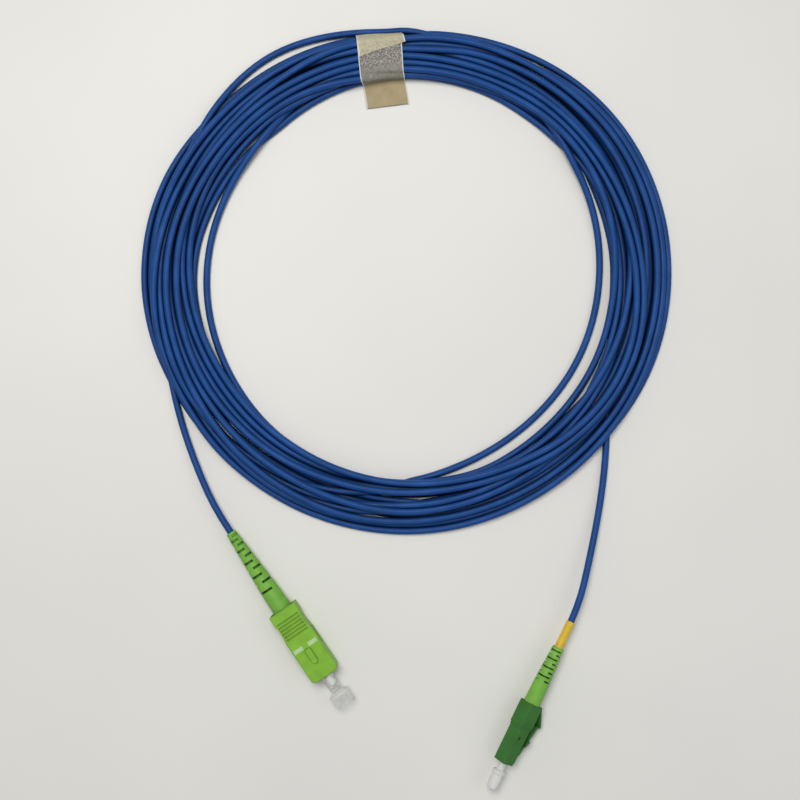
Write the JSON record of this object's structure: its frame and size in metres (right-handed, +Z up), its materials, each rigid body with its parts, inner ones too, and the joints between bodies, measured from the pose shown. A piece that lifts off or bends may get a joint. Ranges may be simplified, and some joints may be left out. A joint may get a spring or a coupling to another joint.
{
  "type": "fiber optic patch cord",
  "caption": "Simplex fiber patch cord wound in a flat round coil and tied with tape, with an SC/APC plug on one end and an LC/APC plug on the other, both capped.",
  "frame": {"origin": "bottom centre of the whole part's box, on the surface that it lies on", "axes": "+Z up from that surface; +Y from the plugs towards the tape tie; +X to the right seen from above"},
  "size_m": [0.1612, 0.2264, 0.0089],
  "materials": {
    "jacket_blue": "satin PVC jacket",
    "plastic_light_green": "moulded, satin",
    "boot_light_green": "soft moulded, satin",
    "plastic_dark_green": "moulded, satin",
    "white_ink": "matt",
    "zirconia": "polished ceramic",
    "nickel": "nickel plated",
    "spring_steel": "bright wire",
    "aramid": "yarn",
    "buffer_white": "smooth",
    "heat_shrink_yellow": "satin",
    "clear_plastic": "clear",
    "milky_plastic": "milky translucent",
    "masking_tape": "creped paper tape"
  },
  "bodies": {
    "cord": {"cord_coil": "jacket_blue", "cord_tail_sc": "jacket_blue", "cord_tail_lc": "jacket_blue", "tape_tie": "masking_tape", "sc_plug_frame": "plastic_light_green", "sc_stop_ring": "nickel", "sc_crimp_sleeve": "nickel", "sc_aramid_yarn": "aramid", "sc_buffered_fiber": "buffer_white", "sc_cord_end": "jacket_blue", "sc_boot": "boot_light_green", "lc_front_housing": "plastic_dark_green", "lc_rear_housing": "plastic_dark_green", "lc_back_post": "nickel", "lc_crimp_sleeve": "nickel", "lc_aramid_yarn": "aramid", "lc_buffered_fiber": "buffer_white", "lc_cord_end": "jacket_blue", "lc_boot": "boot_light_green", "lc_heat_shrink_sleeve": "heat_shrink_yellow", "sc_ferrule_spring": "spring_steel", "lc_ferrule_spring": "spring_steel"},
    "sc_grip": {"sc_grip_housing": "plastic_light_green", "sc_pull_proof_marks": "white_ink"},
    "sc_ferrule": {"sc_ferrule": "zirconia", "sc_ferrule_flange": "nickel"},
    "sc_cap": {"sc_dust_cap": "clear_plastic"},
    "lc_latch": {"lc_latch": "plastic_dark_green"},
    "lc_trigger": {"lc_trigger": "plastic_dark_green"},
    "lc_ferrule": {"lc_ferrule": "zirconia", "lc_ferrule_flange": "nickel"},
    "lc_cap": {"lc_dust_cap": "milky_plastic"}
  },
  "joints": [
    {"name": "sc_grip_slide", "type": "slide", "parent": "cord", "child": "sc_grip", "axis": [0.5592, -0.829, 0], "range_m": [-0.0018, 0]},
    {"name": "sc_ferrule_float", "type": "slide", "parent": "cord", "child": "sc_ferrule", "axis": [0.5592, -0.829, 0], "range_m": [-0.0012, 0], "stiffness_N_per_m": 1500, "deforming": ["sc_ferrule_spring"]},
    {"name": "sc_cap_pull", "type": "slide", "parent": "sc_ferrule", "child": "sc_cap", "axis": [0.5592, -0.829, 0], "range_m": [0, 0.012]},
    {"name": "lc_trigger_press", "type": "hinge", "parent": "cord", "child": "lc_trigger", "pos_m": [0.0385, -0.08885, 0.00352], "axis": [-0.5732, 0.2758, -0.7716], "range_deg": [0, 16], "stiffness_Nm_per_rad": 0.05},
    {"name": "lc_latch_press", "type": "hinge", "parent": "cord", "child": "lc_latch", "pos_m": [0.03177, -0.10238, 0.00368], "axis": [0.5732, -0.2758, 0.7716], "range_deg": [0, 9.2]},
    {"name": "lc_ferrule_float", "type": "slide", "parent": "cord", "child": "lc_ferrule", "axis": [-0.4337, -0.9011, 0], "range_m": [-0.001, 0], "stiffness_N_per_m": 1000, "deforming": ["lc_ferrule_spring"]},
    {"name": "lc_cap_pull", "type": "slide", "parent": "lc_ferrule", "child": "lc_cap", "axis": [-0.4337, -0.9011, 0], "range_m": [0, 0.009]}
  ],
  "couplings": [
    {"joint": "lc_latch_press", "follows": "lc_trigger_press", "ratio": 0.57}
  ]
}
